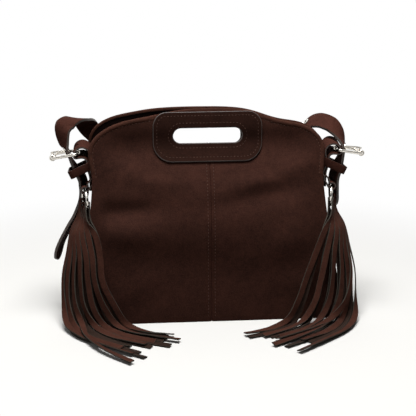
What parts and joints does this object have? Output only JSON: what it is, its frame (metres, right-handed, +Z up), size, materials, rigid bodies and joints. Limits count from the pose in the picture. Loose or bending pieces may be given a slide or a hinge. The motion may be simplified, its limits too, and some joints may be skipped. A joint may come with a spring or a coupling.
{
  "type": "fringed suede bag",
  "caption": "Soft suede handbag with a flared boxy body, a hand slot in a sewn handle patch, a shoulder strap held by roller buckles, and long lace tassels hanging from rings on its ends.",
  "frame": {"origin": "centre of the base panel's underside, on the surface that the bag stands on", "axes": "+Z up, +X to the right seen from the front, front toward -Y"},
  "size_m": [0.3436, 0.2253, 0.226],
  "materials": {
    "suede": "dark brown suede with a soft brushed nap",
    "trim_suede": "dark brown suede with painted cut edges",
    "strap_leather": "dark brown suede-faced strap with painted edges",
    "lace_suede": "dark brown suede lace with grey cut edges",
    "nickel": "polished nickel plate"
  },
  "bodies": {
    "bag": {"front_panel_left": "suede", "front_panel_right": "suede", "back_panel_left": "suede", "back_panel_right": "suede", "base_panel": "suede", "front_handle_patch": "trim_suede", "back_handle_patch": "trim_suede", "gusset_left": "suede", "gusset_right": "suede", "buckle_tab_left": "trim_suede", "buckle_tab_right": "trim_suede", "keeper_left": "trim_suede", "keeper_right": "trim_suede", "ring_loop_left": "trim_suede", "ring_loop_right": "trim_suede", "shoulder_strap": "strap_leather", "strap_eyelet_left_1": "nickel", "strap_eyelet_left_2": "nickel", "strap_eyelet_right_1": "nickel", "strap_eyelet_right_2": "nickel", "fringe_lace_left_1": "lace_suede", "fringe_lace_left_2": "lace_suede", "fringe_lace_left_3": "lace_suede", "fringe_lace_left_4": "lace_suede", "fringe_lace_left_5": "lace_suede", "fringe_lace_left_6": "lace_suede", "fringe_lace_left_7": "lace_suede", "fringe_lace_right_1": "lace_suede", "fringe_lace_right_2": "lace_suede", "fringe_lace_right_3": "lace_suede", "fringe_lace_right_4": "lace_suede", "fringe_lace_right_5": "lace_suede", "fringe_lace_right_6": "lace_suede", "fringe_lace_right_7": "lace_suede"},
    "buckle_left": {"buckle_frame_left": "nickel"},
    "roller_left": {"buckle_roller_left": "nickel"},
    "prong_left": {"buckle_prong_left": "nickel"},
    "ring_left": {"tassel_ring_left": "nickel"},
    "buckle_right": {"buckle_frame_right": "nickel"},
    "roller_right": {"buckle_roller_right": "nickel"},
    "prong_right": {"buckle_prong_right": "nickel"},
    "ring_right": {"tassel_ring_right": "nickel"}
  },
  "joints": [
    {"name": "buckle_swing_left", "type": "hinge", "parent": "bag", "child": "buckle_left", "pos_m": [-0.14269, 0, 0.182], "axis": [0, 1, 0], "range_deg": [0, 3]},
    {"name": "roller_spin_left", "type": "hinge", "parent": "buckle_left", "child": "roller_left", "pos_m": [-0.16837, 0, 0.17793], "axis": [0, 1, 0], "continuous": true},
    {"name": "prong_swing_left", "type": "hinge", "parent": "buckle_left", "child": "prong_left", "pos_m": [-0.14269, 0, 0.182], "axis": [0, 1, 0], "range_deg": [0, 3]},
    {"name": "ring_spin_left", "type": "hinge", "parent": "bag", "child": "ring_left", "pos_m": [-0.13499, -0.0148, 0.132], "axis": [-0.9659, -0.2588, 0], "continuous": true},
    {"name": "buckle_swing_right", "type": "hinge", "parent": "bag", "child": "buckle_right", "pos_m": [0.14269, 0, 0.182], "axis": [0, -1, 0], "range_deg": [0, 3]},
    {"name": "roller_spin_right", "type": "hinge", "parent": "buckle_right", "child": "roller_right", "pos_m": [0.16837, 0, 0.17793], "axis": [0, 1, 0], "continuous": true},
    {"name": "prong_swing_right", "type": "hinge", "parent": "buckle_right", "child": "prong_right", "pos_m": [0.14269, 0, 0.182], "axis": [0, -1, 0], "range_deg": [0, 3]},
    {"name": "ring_spin_right", "type": "hinge", "parent": "bag", "child": "ring_right", "pos_m": [0.13499, -0.0148, 0.132], "axis": [0.9659, -0.2588, 0], "continuous": true}
  ]
}
